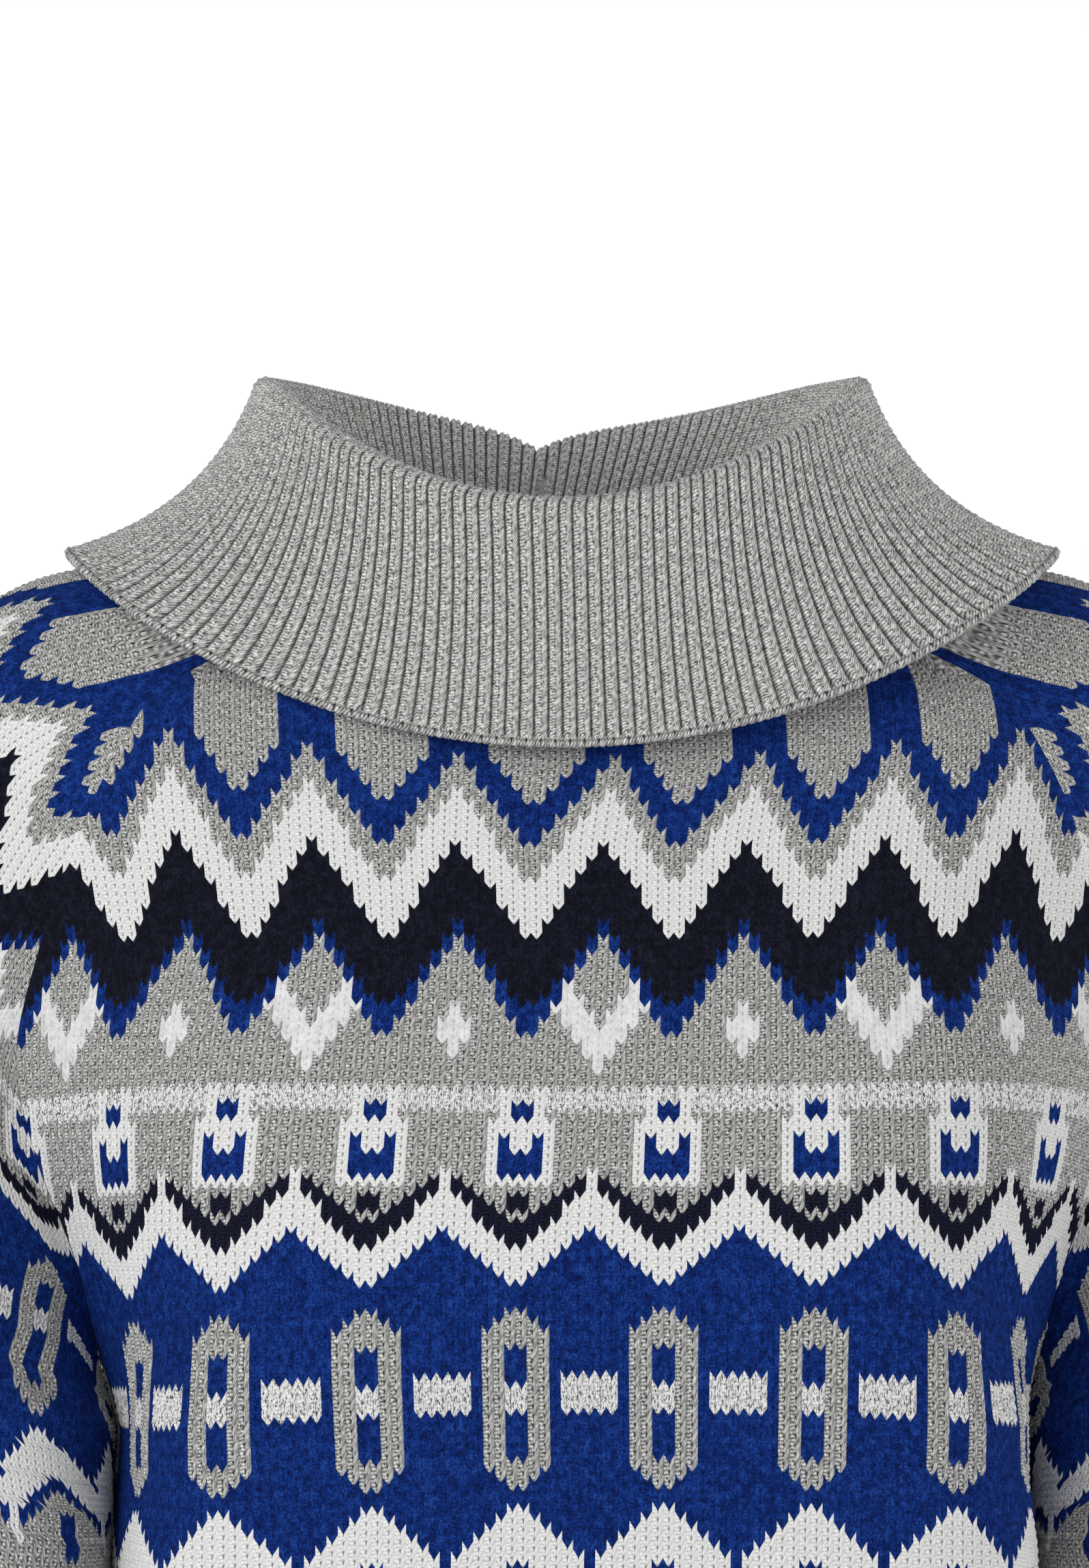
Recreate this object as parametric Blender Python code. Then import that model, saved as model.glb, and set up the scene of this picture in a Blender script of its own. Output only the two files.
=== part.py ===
"""Raglan yoke sweater with a folded ribbed collar, in its worn shape with nobody in it.

Every panel is one wall of knitted cloth between an outer grid of points and the same grid moved
inwards. All panels share one family of rings. A ring has a level: 0 is the neck seam and 1 the
underarm. Past 1 the body rings run on to the hem (2 is the top of its rib, 2.25 its edge) and
the sleeve rings to the cuff (2.5 is the top of its rib, 2.75 its edge). Tables are in
millimetres and degrees. The front faces -Y, the wearer's left is +X, and the origin is the middle
of the neck.
"""
import math
from collections import namedtuple

import bmesh
import bpy
from mathutils import Vector

MM = 0.001

# Cloth
KNIT_WALL = 2.8
RIB_WALL = 3.2
RIB_RELIEF = 1.1
SEAM_GAP = 0.3
UNDERARM_CLEARANCE = 1.4

# Levels that bound the pieces
NECK_BLEND = 0.2
UNDERARM = 1.0
HEM_RIB = 2.0
HEM_EDGE = 2.25
CUFF_RIB = 2.5
CUFF_EDGE = 2.75

# Rows and columns of the walls
YOKE_LEVELS = (0, 0.06, 0.13, 0.2, 0.28, 0.37, 0.47, 0.57, 0.67, 0.76, 0.84, 0.92, 1.0)
BODY_LEVELS = YOKE_LEVELS + (1.1, 1.3, 1.55, 1.76, 1.9, 2.0)
SLEEVE_LEVELS = YOKE_LEVELS + (1.1, 1.25, 1.42, 1.56, 1.68, 1.8, 2.0, 2.2, 2.36, 2.44, 2.5)
BODY_COLUMNS = 20
SLEEVE_COLUMNS = 18
EDGE_CROWDING = 0.5
HEM_RIBS = 56
CUFF_RIBS = 44
COLLAR_RIBS = 144
RIB_ROWS = 2
POINTS_PER_RIB = 2
OUTER_PER_INNER = 4

# Rings: the middle of the front and of the back
Middle = namedtuple("Middle", "level y z")
FRONT_MIDDLE = [
    Middle(0.0, -80, -42), Middle(0.1, -86, -48), Middle(0.2, -91, -57), Middle(0.3, -103, -87),
    Middle(0.4, -115, -119), Middle(0.5, -126, -150), Middle(0.6, -135, -182),
    Middle(0.7, -142, -214), Middle(0.8, -147, -246), Middle(0.9, -150, -278),
    Middle(1.0, -150, -309), Middle(1.25, -147, -367), Middle(1.5, -142, -425),
    Middle(1.75, -139, -483), Middle(1.9, -139, -518), Middle(2.0, -134, -540),
    Middle(2.25, -128, -600)]
BACK_MIDDLE = [
    Middle(0.0, 62, -6), Middle(0.1, 73, -20), Middle(0.2, 83, -38), Middle(0.3, 94, -68),
    Middle(0.4, 102, -99), Middle(0.5, 107, -132), Middle(0.6, 110, -166), Middle(0.7, 111, -201),
    Middle(0.8, 110, -237), Middle(0.9, 107, -273), Middle(1.0, 103, -309),
    Middle(1.25, 98, -367), Middle(1.5, 96, -425), Middle(1.75, 100, -483),
    Middle(1.9, 104, -518), Middle(2.0, 102, -540), Middle(2.25, 98, -600)]

# Rings: the front runs flat over the chest and turns sharply at its sides, and the back does so a
# little. Both are round (1) at the first level here, and this full from the second on.
FRONT_FULLNESS = 1.5
BACK_FULLNESS = 1.25
FULLNESS_LEVELS = (0.15, 0.65)

# Rings: the raglan seams. A row of knitting meets the seam turned towards the side and rising by
# so much, and leaves it over the sleeve as the last two columns say.
Seam = namedtuple("Seam", "level x y z turn rise sleeve_turn sleeve_rise")
FRONT_SEAM = [
    Seam(0.0, 61, -53, -15, 47, 30, 47, 30), Seam(0.1, 108, -56, -40, 38, 12, 54, 43),
    Seam(0.2, 147, -59, -58, 38, 3, 50, 40), Seam(0.3, 167, -64, -87, 38, 0, 40, 48),
    Seam(0.4, 180, -59, -120, 44, -2, 28, 46), Seam(0.5, 191, -50, -154, 50, -4, 16, 42),
    Seam(0.6, 197, -42, -188, 55, -6, 4, 36), Seam(0.7, 190, -39, -222, 60, -6, -12, 30),
    Seam(0.8, 177, -35, -255, 66, -5, -32, 20), Seam(0.9, 168, -30, -288, 76, -3, -58, 9),
    Seam(1.0, 160, -24, -318, 90, 0, -90, 0)]
BACK_SEAM = [
    Seam(0.0, 58, 44, 0, 45, 8, 42, 25), Seam(0.1, 93, 54, -13, 34, 8, 45, 28),
    Seam(0.2, 124, 60, -35, 26, 3, 38, 36), Seam(0.3, 146, 66, -66, 20, 0, 24, 40),
    Seam(0.4, 162, 69, -99, 18, -1, 14, 38), Seam(0.5, 173, 69, -133, 17, -2, 6, 35),
    Seam(0.6, 180, 65, -168, 18, -3, -2, 31), Seam(0.7, 183, 55, -204, 28, -3, -12, 26),
    Seam(0.8, 178, 37, -242, 46, -3, -32, 20), Seam(0.9, 168, 8, -281, 66, -2, -56, 10),
    Seam(1.0, 160, -24, -318, 90, 0, -90, 0)]

# Rings: the side seams, below the underarm
Side = namedtuple("Side", "level x y z")
SIDE_SEAM = [
    Side(1.0, 160, -24, -318), Side(1.25, 159, -21, -373), Side(1.5, 158, -18, -429),
    Side(1.75, 160, -17, -485), Side(1.9, 162, -16, -519), Side(2.0, 158, -16, -540),
    Side(2.25, 152, -15, -600)]

# Sleeve rings: the line over the shoulder and down the outside of the arm
Top = namedtuple("Top", "level x y z")
SLEEVE_TOP = [
    Top(0.0, 82, 0, 6), Top(0.1, 121, 2, -2), Top(0.2, 158, 4, -12.5), Top(0.3, 193, 5, -22),
    Top(0.4, 224, 3, -45), Top(0.5, 243, -1, -81), Top(0.6, 252, -5, -121),
    Top(0.7, 257, -11, -161), Top(0.8, 261, -16, -203), Top(0.9, 266, -20, -246),
    Top(1.0, 270.8, -24, -289.8)]

# Sleeve rings below the underarm: the centre, radius and lean of the tube's section
Tube = namedtuple("Tube", "level x y z radius lean")
SLEEVE_TUBE = [
    Tube(1.0, 216.1, -24, -303.9, 56.5, 14.5), Tube(1.25, 217, -32, -355, 54.5, 11),
    Tube(1.5, 221, -39, -412, 51.5, 9), Tube(1.75, 230, -44, -470, 48.5, 9),
    Tube(2.0, 240, -50, -529, 45.5, 10), Tube(2.25, 250, -57, -588, 42.5, 10.5),
    Tube(2.42, 257, -62, -628, 40.5, 11), Tube(2.5, 260, -64, -646, 37.5, 11),
    Tube(2.75, 271, -70, -705, 33.5, 11)]

# Soft folds: the two ends of a trough on the cloth, its half width and depth. Each is on both
# sides of the sweater.
Fold = namedtuple("Fold", "x0 y0 z0 x1 y1 z1 half_width depth")
FOLDS = [
    Fold(156, -62, -303, 120, -128, -238, 9, 3.0), Fold(158, -55, -338, 130, -108, -330, 10, 2.5),
    Fold(208, -80, -265, 175, -52, -324, 8, 2.5), Fold(269, -60, -430, 221, -92, -452, 9, 3.0),
    Fold(275, -50, -480, 229, -94, -500, 9, 3.0), Fold(153, 40, -325, 112, 82, -288, 10, 3.0),
    Fold(208, 24, -303, 179, 2, -342, 9, 2.5)]
FOLD_RUN_OUT = 0.2

# Collar: curves round the neck, with half width, depth to the front and back, height at the side,
# and how far they drop towards the middles of the front and back (a higher power drops later)
Curve = namedtuple(
    "Curve", "half_width front back side_z front_drop front_power back_drop back_power")
NECK = Curve(82, 80, 62, 6, 48, 2, 12, 2)
ROLL = Curve(105, 93, 78, 48, 44, 1.85, 15.5, 3.3)
FALL_BEND = Curve(127, 106, 94, 5, 46, 1.8, 20, 2)
FALL_EDGE = Curve(175, 116, 121, -8, 68.5, 1.75, 46, 2)
ROLL_RADIUS = 4.8

# Collar: the fold sits a little turned about the neck, its ribs crowd at the front and back
# middles, and its rim dips at the back seam
COLLAR_TURN = -6
RIB_CROWDING = 0.17
BACK_DIP = 7
BACK_DIP_X = -6.5
BACK_DIP_HALF_WIDTH = 14

STAND_ROWS = 2
ROLL_ROWS = 3
FALL_ROWS = 4

# Yarn colours
GREY = (0.42, 0.42, 0.41, 1)
ROYAL = (0.02, 0.06, 0.36, 1)


def slope(table, row):
    """Rate of change of each column at a row of a table, weighted between its neighbours."""
    here = table[row]
    rates = []
    for column in range(len(here)):
        sides = []
        for other in (row - 1, row + 1):
            if 0 <= other < len(table):
                span = table[other].level - here.level
                sides.append(((table[other][column] - here[column]) / span, abs(span)))
        if len(sides) == 1:
            rates.append(sides[0][0])
        else:
            (rate_a, span_a), (rate_b, span_b) = sides
            rates.append((rate_a * span_b + rate_b * span_a) / (span_a + span_b))
    return rates


def follow(table, level):
    """All the columns of a table at a level, on a smooth curve through its rows."""
    low = 0
    while low < len(table) - 2 and table[low + 1].level < level:
        low += 1
    start = table[low]
    end = table[low + 1]
    span = end.level - start.level
    s = min(max((level - start.level) / span, 0.0), 1.0)
    values = []
    for a, b, rate_a, rate_b in zip(start, end, slope(table, low), slope(table, low + 1)):
        values.append(a * (1 + 2 * s) * (1 - s) ** 2 + b * s * s * (3 - 2 * s)
                      + span * (rate_a * s * (1 - s) ** 2 - rate_b * s * s * (1 - s)))
    return type(start)(*values)


def way(turn, rise):
    """Unit vector that turns from +X towards +Y and rises."""
    turn = math.radians(turn)
    rise = math.radians(rise)
    return Vector((math.cos(turn) * math.cos(rise), math.sin(turn) * math.cos(rise),
                   math.sin(rise)))


def arc(start, start_way, end, end_way, share, fullness=1.0):
    """Point at a share of an arc that leaves its start and reaches its end the given ways. It is
    round at a fullness of 1, and squarer above."""
    turn = max(start_way.angle(end_way), 0.01)
    reach = (end - start).length * 2 / 3 * math.tan(turn / 4) / math.sin(turn / 2) * fullness
    rest = 1 - share
    return (start * rest ** 3 + (start + start_way * reach) * 3 * share * rest ** 2
            + (end - end_way * reach) * 3 * share ** 2 * rest + end * share ** 3)


def mirror_y(vector):
    return Vector((vector.x, -vector.y, vector.z))


def turned(vector, degrees):
    """The vector turned about +Z."""
    c = math.cos(math.radians(degrees))
    s = math.sin(math.radians(degrees))
    return Vector((vector.x * c - vector.y * s, vector.x * s + vector.y * c, vector.z))


def curve_point(curve, angle, crowding=0.0):
    """Point of a collar curve: angle 0 is the front, a quarter turn the +X side. Crowding draws
    the ribs towards the middles of the front and back."""
    angle -= crowding * math.sin(2 * angle)
    ahead = math.cos(angle)
    if ahead > 0:
        depth = curve.front
        drop = curve.front_drop * ahead ** curve.front_power
    else:
        depth = curve.back
        drop = curve.back_drop * (-ahead) ** curve.back_power
    return Vector((curve.half_width * math.sin(angle), -depth * ahead, curve.side_z - drop))


def to_neck(point, level):
    """Draws the first rings towards the neck curve, fully at level 0."""
    if level >= NECK_BLEND:
        return point
    depth = NECK.front if point.y < 0 else NECK.back
    angle = math.atan2(point.x / NECK.half_width, -point.y / depth)
    return point.lerp(curve_point(NECK, angle), (1 - level / NECK_BLEND) ** 2)


def body_point(facing, level, across):
    """Point of the front (facing -1) or back (facing 1), across from -1 to 1 between its seams."""
    middle = follow(FRONT_MIDDLE if facing < 0 else BACK_MIDDLE, level)
    if level <= UNDERARM:
        seam = follow(FRONT_SEAM if facing < 0 else BACK_SEAM, level)
        arrive = way(seam.turn, seam.rise)
    else:
        seam = follow(SIDE_SEAM, level)
        arrive = Vector((0, 1, 0))
    start = Vector((0, -facing * middle.y, middle.z))
    end = Vector((seam.x, -facing * seam.y, seam.z))
    first, last = FULLNESS_LEVELS
    rise = min(max((level - first) / (last - first), 0.0), 1.0)
    fullness = 1 + ((FRONT_FULLNESS if facing < 0 else BACK_FULLNESS) - 1) * rise
    point = arc(start, Vector((1, 0, 0)), end, arrive, abs(across), fullness)
    point.y *= -facing
    point = to_neck(point, level)
    if across < 0:
        point.x = -point.x
    return point


def sleeve_point(level, around):
    """Point of the +X sleeve, around from -1 at its front seam over the top at 0 to 1."""
    if level <= UNDERARM:
        top = follow(SLEEVE_TOP, level)
        seam = follow(FRONT_SEAM if around < 0 else BACK_SEAM, level)
        summit = Vector((top.x, top.y, top.z))
        foot = Vector((seam.x, seam.y, seam.z))
        foot.x += UNDERARM_CLEARANCE * max(0.0, (level - 0.8) / 0.2) ** 2
        leave = way(seam.sleeve_turn, seam.sleeve_rise)
    else:
        tube = follow(SLEEVE_TUBE, level)
        centre = Vector((tube.x, tube.y, tube.z))
        lean = math.radians(tube.lean)
        spoke = Vector((math.cos(lean), 0, math.sin(lean))) * tube.radius
        summit = centre + spoke
        foot = centre - spoke
        leave = Vector((0, -1, 0))
    if around > 0:
        summit = mirror_y(summit)
        foot = mirror_y(foot)
    point = arc(foot, leave, summit, Vector((0, 1, 0)), 1 - abs(around))
    if around > 0:
        point = mirror_y(point)
    return to_neck(point, level)


def fold_depth(point):
    """How far the soft folds press the cloth in at a point."""
    depth = 0.0
    mirrored = Vector((abs(point.x), point.y, point.z))
    for fold in FOLDS:
        start = Vector((fold.x0, fold.y0, fold.z0))
        run = Vector((fold.x1, fold.y1, fold.z1)) - start
        share = (mirrored - start).dot(run) / run.length_squared
        if -FOLD_RUN_OUT < share < 1 + FOLD_RUN_OUT:
            off = (mirrored - start - run * share).length / fold.half_width
            fade = math.cos(math.pi * (share - 0.5) / (1 + 2 * FOLD_RUN_OUT))
            depth += fold.depth * fade ** 2 * math.exp(-off * off)
    return depth


def normal_at(surface, level, across):
    """Unit normal of a surface, from small steps that stay on it."""
    step = 0.002
    sideways = (surface(level, min(across + step, 1.0))
                - surface(level, max(across - step, -1.0)))
    downwards = surface(level + step, across) - surface(max(level - step, 0.0), across)
    return sideways.cross(downwards).normalized()


def places_between_seams(count, crowding):
    """Positions from -1 to 1, with more of them near both ends."""
    steps = [-1 + 2 * step / count for step in range(count + 1)]
    return [(1 - crowding) * s + crowding * math.sin(s * math.pi / 2) for s in steps]


def held_back(surface, level, across, first, last):
    """Point of the surface, half a seam gap short of a seam at its sides, top or bottom."""
    point = surface(level, across)
    half_gap = SEAM_GAP / 2
    if abs(across) == 1:
        point += (surface(level, across * 0.99) - surface(level, across)).normalized() * half_gap
    down = (surface(level + 0.01, across) - surface(max(level - 0.01, 0), across)).normalized()
    if level == first and level > 0:
        point += down * half_gap
    if level == last:
        point -= down * half_gap
    return point


def panel_grids(surface, levels, places, outward, wall, relief=0.0):
    """Outer and inner points of a wall. The relief lifts every other column of outer points."""
    inner_step = OUTER_PER_INNER if relief else 1
    outer, inner = [], []
    for level in levels:
        outer_row, inner_row = [], []
        for column, across in enumerate(places):
            normal = normal_at(surface, level, across) * outward
            point = held_back(surface, level, across, levels[0], levels[-1])
            point -= normal * fold_depth(point)
            outer_row.append(point + normal * relief * (column % 2 - 0.5))
            if column % inner_step == 0:
                inner_row.append(point - normal * wall)
        outer.append(outer_row)
        inner.append(inner_row)
    return outer, inner


def body_panel(facing):
    """Grids of the front or back, from the neck seam to the top of the hem rib."""
    places = places_between_seams(BODY_COLUMNS, EDGE_CROWDING)
    return panel_grids(lambda level, across: body_point(facing, level, across),
                       BODY_LEVELS, places, facing, KNIT_WALL)


def hem_rib(facing):
    """Grids of the front or back half of the hem rib."""
    levels = [HEM_RIB + (HEM_EDGE - HEM_RIB) * row / RIB_ROWS for row in range(RIB_ROWS + 1)]
    places = places_between_seams(HEM_RIBS * POINTS_PER_RIB, 0)
    return panel_grids(lambda level, across: body_point(facing, level, across),
                       levels, places, facing, RIB_WALL, RIB_RELIEF)


def sleeve():
    """Grids of the +X sleeve, from the neck seam to the top of its cuff."""
    places = places_between_seams(SLEEVE_COLUMNS, 0)
    return panel_grids(sleeve_point, SLEEVE_LEVELS, places, -1, KNIT_WALL)


def cuff():
    """Grids of the +X cuff."""
    levels = [CUFF_RIB + (CUFF_EDGE - CUFF_RIB) * row / RIB_ROWS for row in range(RIB_ROWS + 1)]
    places = places_between_seams(CUFF_RIBS * POINTS_PER_RIB, 0)
    return panel_grids(sleeve_point, levels, places, -1, RIB_WALL, RIB_RELIEF)


def collar_point(angle, along):
    """Point of the collar's showing face: along 0 to 1 up the inside of the stand, to 2 over the
    roll, and to 3 down the outside of the fall."""
    neck = curve_point(NECK, angle) + Vector((0, 0, SEAM_GAP))
    roll = curve_point(ROLL, angle)
    if math.cos(angle) < 0:
        roll.z -= BACK_DIP * math.exp(-((roll.x - BACK_DIP_X) / BACK_DIP_HALF_WIDTH) ** 2)
    roll = turned(roll, COLLAR_TURN)
    bend = turned(curve_point(FALL_BEND, angle, RIB_CROWDING / 2), COLLAR_TURN)
    out = bend - neck
    out.z = 0
    out = out.normalized() * ROLL_RADIUS
    up = Vector((0, 0, ROLL_RADIUS))
    if along <= 1:
        return neck.lerp(roll - out, along)
    if along <= 2:
        swing = math.pi * (along - 1)
        return roll - out * math.cos(swing) + up * math.sin(swing)
    share = along - 2
    edge = turned(curve_point(FALL_EDGE, angle, RIB_CROWDING), COLLAR_TURN)
    return ((roll + out) * (1 - share) ** 2 + bend * 2 * share * (1 - share) + edge * share ** 2)


def collar():
    """Grids of the collar: the showing face is ribbed all the way, the hidden face is plain."""
    stops = [row / STAND_ROWS for row in range(STAND_ROWS)]
    stops += [1 + row / ROLL_ROWS for row in range(ROLL_ROWS)]
    stops += [2 + row / FALL_ROWS for row in range(FALL_ROWS + 1)]
    columns = COLLAR_RIBS * POINTS_PER_RIB
    step = 0.002
    showing, hidden = [], []
    for along in stops:
        showing_row, hidden_row = [], []
        for column in range(columns):
            angle = 2 * math.pi * column / columns
            point = collar_point(angle, along)
            sideways = collar_point(angle + step, along) - collar_point(angle - step, along)
            onwards = (collar_point(angle, min(along + step, 3))
                       - collar_point(angle, max(along - step, 0)))
            normal = onwards.cross(sideways)
            if along == 0:
                normal.z = 0
            normal.normalize()
            showing_row.append(point + normal * RIB_RELIEF * (column % 2 - 0.5))
            if column % OUTER_PER_INNER == 0:
                hidden_row.append(point - normal * RIB_WALL)
        showing.append(showing_row)
        hidden.append(hidden_row)
    return showing, hidden


def bridge(mesh, many, few):
    """Joins a long row of corners to one with every fourth as many, by fans of triangles."""
    ratio = (len(many) - 1) // (len(few) - 1)
    for index in range(len(few) - 1):
        run = many[index * ratio:(index + 1) * ratio + 1]
        middle = ratio // 2
        for step in range(ratio):
            corner = few[index] if step < middle else few[index + 1]
            mesh.faces.new((run[step], run[step + 1], corner))
        mesh.faces.new((run[middle], few[index + 1], few[index]))


def add_wall(name, grids, material, closed=False, mirrored=False):
    """Makes one closed solid between an outer and an inner grid of points in millimetres."""
    mesh = bmesh.new()
    side = -1 if mirrored else 1
    skins = []
    for grid in grids:
        corners = []
        for row in grid:
            corners.append([mesh.verts.new((p.x * side * MM, p.y * MM, p.z * MM)) for p in row])
            if closed:
                corners[-1].append(corners[-1][0])
        skins.append(corners)
        for upper, lower in zip(corners, corners[1:]):
            for column in range(len(upper) - 1):
                mesh.faces.new((upper[column], lower[column], lower[column + 1],
                                upper[column + 1]))
    outer, inner = skins
    for row in (0, -1):
        if len(outer[row]) == len(inner[row]):
            for column in range(len(outer[row]) - 1):
                mesh.faces.new((outer[row][column], outer[row][column + 1],
                                inner[row][column + 1], inner[row][column]))
        else:
            bridge(mesh, outer[row], inner[row])
    if not closed:
        for column in (0, -1):
            for row in range(len(outer) - 1):
                mesh.faces.new((outer[row][column], outer[row + 1][column],
                                inner[row + 1][column], inner[row][column]))
    bmesh.ops.triangulate(mesh, faces=mesh.faces)
    bmesh.ops.recalc_face_normals(mesh, faces=mesh.faces)
    data = bpy.data.meshes.new(name)
    mesh.to_mesh(data)
    mesh.free()
    data.shade_smooth()
    data.set_sharp_from_angle(angle=math.radians(50))
    data.materials.append(material)
    piece = bpy.data.objects.new(name, data)
    bpy.context.collection.objects.link(piece)


def yarn(name, colour):
    material = bpy.data.materials.new(name)
    material.use_nodes = True
    shader = material.node_tree.nodes["Principled BSDF"]
    shader.inputs["Base Color"].default_value = colour
    shader.inputs["Roughness"].default_value = 0.9
    shader.inputs["Metallic"].default_value = 0.0
    material.diffuse_color = colour
    return material


def main():
    for old in list(bpy.data.objects):
        bpy.data.objects.remove(old, do_unlink=True)
    add_wall("front", body_panel(-1), yarn("front_jacquard", ROYAL))
    add_wall("back", body_panel(1), yarn("back_jacquard", ROYAL))
    sleeve_grids = sleeve()
    cuff_grids = cuff()
    for side, mirrored in (("left", False), ("right", True)):
        add_wall("sleeve_" + side, sleeve_grids, yarn("sleeve_jacquard_" + side, ROYAL),
                 mirrored=mirrored)
        add_wall("cuff_" + side, cuff_grids, yarn("cuff_rib_" + side, GREY), mirrored=mirrored)
    add_wall("hem_rib_front", hem_rib(-1), yarn("front_hem_rib", GREY))
    add_wall("hem_rib_back", hem_rib(1), yarn("back_hem_rib", GREY))
    add_wall("collar", collar(), yarn("collar_rib", GREY), closed=True)


main()
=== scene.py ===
import math
from collections import namedtuple

import bpy
import numpy as np
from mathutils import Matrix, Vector


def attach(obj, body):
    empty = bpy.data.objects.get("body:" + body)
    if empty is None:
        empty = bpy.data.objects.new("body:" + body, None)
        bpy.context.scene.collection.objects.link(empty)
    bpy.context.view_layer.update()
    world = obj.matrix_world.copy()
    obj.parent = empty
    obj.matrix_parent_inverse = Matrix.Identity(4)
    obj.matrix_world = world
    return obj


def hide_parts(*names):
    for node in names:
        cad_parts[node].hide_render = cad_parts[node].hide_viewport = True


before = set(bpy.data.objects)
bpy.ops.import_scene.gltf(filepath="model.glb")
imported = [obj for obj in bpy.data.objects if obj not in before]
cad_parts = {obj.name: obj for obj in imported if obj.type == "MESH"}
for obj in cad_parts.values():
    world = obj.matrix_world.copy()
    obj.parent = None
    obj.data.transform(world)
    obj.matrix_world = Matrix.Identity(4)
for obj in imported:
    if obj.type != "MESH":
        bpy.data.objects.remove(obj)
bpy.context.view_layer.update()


# ---------------------------------------------------------------------------------------------
# Front. The real one is a single jacquard panel, knitted from the hem up in seven yarns, steamed
# and linked to the sleeves along two raglan seams. Rings of the body, rows and yarns start here.
# Sizes are in mm. The level of a ring is 0 at the neck, 1 at the underarm and 2 at the hem rib.
MM = 0.001
Middle = namedtuple("Middle", "level y z")
FRONT_MIDDLE = [
    Middle(0.0, -80, -42), Middle(0.1, -86, -48), Middle(0.2, -91, -57), Middle(0.3, -103, -87),
    Middle(0.4, -115, -119), Middle(0.5, -126, -150), Middle(0.6, -135, -182),
    Middle(0.7, -142, -214), Middle(0.8, -147, -246), Middle(0.9, -150, -278),
    Middle(1.0, -150, -309), Middle(1.25, -147, -367), Middle(1.5, -142, -425),
    Middle(1.75, -139, -483), Middle(1.9, -139, -518), Middle(2.0, -134, -540),
    Middle(2.25, -128, -600)]
FRONT_FULLNESS = 1.5
FULLNESS_LEVELS = (0.15, 0.65)
# The turns and rises, in degrees, are the ways in which the body's cloth reaches the seam and the
# sleeve's cloth leaves it
Seam = namedtuple("Seam", "level x y z turn rise sleeve_turn sleeve_rise")
FRONT_SEAM = [
    Seam(0.0, 61, -53, -15, 47, 30, 47, 30), Seam(0.1, 108, -56, -40, 38, 12, 54, 43),
    Seam(0.2, 147, -59, -58, 38, 3, 50, 40), Seam(0.3, 167, -64, -87, 38, 0, 40, 48),
    Seam(0.4, 180, -59, -120, 44, -2, 28, 46), Seam(0.5, 191, -50, -154, 50, -4, 16, 42),
    Seam(0.6, 197, -42, -188, 55, -6, 4, 36), Seam(0.7, 190, -39, -222, 60, -6, -12, 30),
    Seam(0.8, 177, -35, -255, 66, -5, -32, 20), Seam(0.9, 168, -30, -288, 76, -3, -58, 9),
    Seam(1.0, 160, -24, -318, 90, 0, -90, 0)]
Side = namedtuple("Side", "level x y z")
SIDE_SEAM = [
    Side(1.0, 160, -24, -318), Side(1.25, 163.2, -27, -373), Side(1.5, 162, -23, -429),
    Side(1.75, 161, -18, -485), Side(1.9, 162, -16, -519), Side(2.0, 158, -16, -540),
    Side(2.25, 152, -15, -600)]
NECK_BLEND = 0.2
UNDERARM = 1.0
HEM_RIB = 2.0
# Soft folds about the underarms and down the sleeves, each along a line between two points of the
# +X side, and mirrored
Fold = namedtuple("Fold", "x0 y0 z0 x1 y1 z1 half_width depth")
FOLDS = [
    Fold(156, -62, -303, 120, -128, -238, 9, 3.0), Fold(158, -55, -338, 130, -108, -330, 10, 2.5),
    Fold(208, -80, -265, 175, -52, -324, 8, 2.5), Fold(269, -60, -430, 221, -92, -452, 9, 3.0),
    Fold(275, -50, -480, 229, -94, -500, 9, 3.0), Fold(153, 40, -325, 112, 82, -288, 10, 3.0),
    Fold(208, 24, -303, 179, 2, -342, 9, 2.5)]
FOLD_RUN_OUT = 0.2
Curve = namedtuple(
    "Curve", "half_width front back side_z front_drop front_power back_drop back_power")
NECK = Curve(82, 80, 62, 6, 48, 2, 12, 2)

# Rows of knitting, counted down from the tip of the highest diamond, and the ring each lies on
TOP_ROW = -30
BODY_ROWS = 176
ROW_RINGS = [
    (-30, 0.0), (-20.9, 0.1), (-19.3, 0.15), (-16.6, 0.2), (-11.0, 0.25), (-4.2, 0.3), (2.3, 0.35),
    (8.7, 0.4), (14.8, 0.45), (20.8, 0.5), (27.0, 0.55), (33.1, 0.6), (39.2, 0.65), (45.0, 0.7),
    (50.6, 0.75), (56.0, 0.8), (61.2, 0.85), (66.3, 0.9), (71.25, 0.95), (76.0, 1.0),
    (80.1, 1.05), (83.7, 1.1), (87.0, 1.15), (90.3, 1.2), (93.6, 1.25), (111.1, 1.5),
    (128.7, 1.75), (146.0, 2.0)]
WALE = 3.9
REPEAT = 13
# How far from the middle of the front every repeat lies on some of the rows, from one seam to the
# other: the panel hangs a little off centre and is stretched where it bends to the sides
Drape = namedtuple("Drape", "row runs")
DRAPE = [
    Drape(-30, (-258, -152, -100, -47, 8, 59, 109, 163, 269)),
    Drape(-6.6, (-256, -152, -100, -47, 8, 59, 109, 163, 267)),
    Drape(5.8, (-253.5, -149.5, -99.3, -49.4, 2.3, 52.5, 102.7, 158, 262)),
    Drape(19, (-248, -145.8, -97.5, -49.3, 1.2, 50.1, 99.1, 151.8, 262)),
    Drape(57, (-275, -171.4, -110.5, -57.3, -6.5, 45.7, 100.8, 163, 264)),
    Drape(70, (-275, -171, -110, -57.5, -6.9, 45.2, 98.5, 159, 263)),
    Drape(85.5, (-272, -168, -107, -56, -6.2, 44.8, 97, 155, 259)),
    Drape(146, (-264, -160, -106, -57, -7, 44, 96, 150, 254))]
DRAPE_COLUMNS = (-65, -39, -26, -13, 0, 13, 26, 39, 65)
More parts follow.
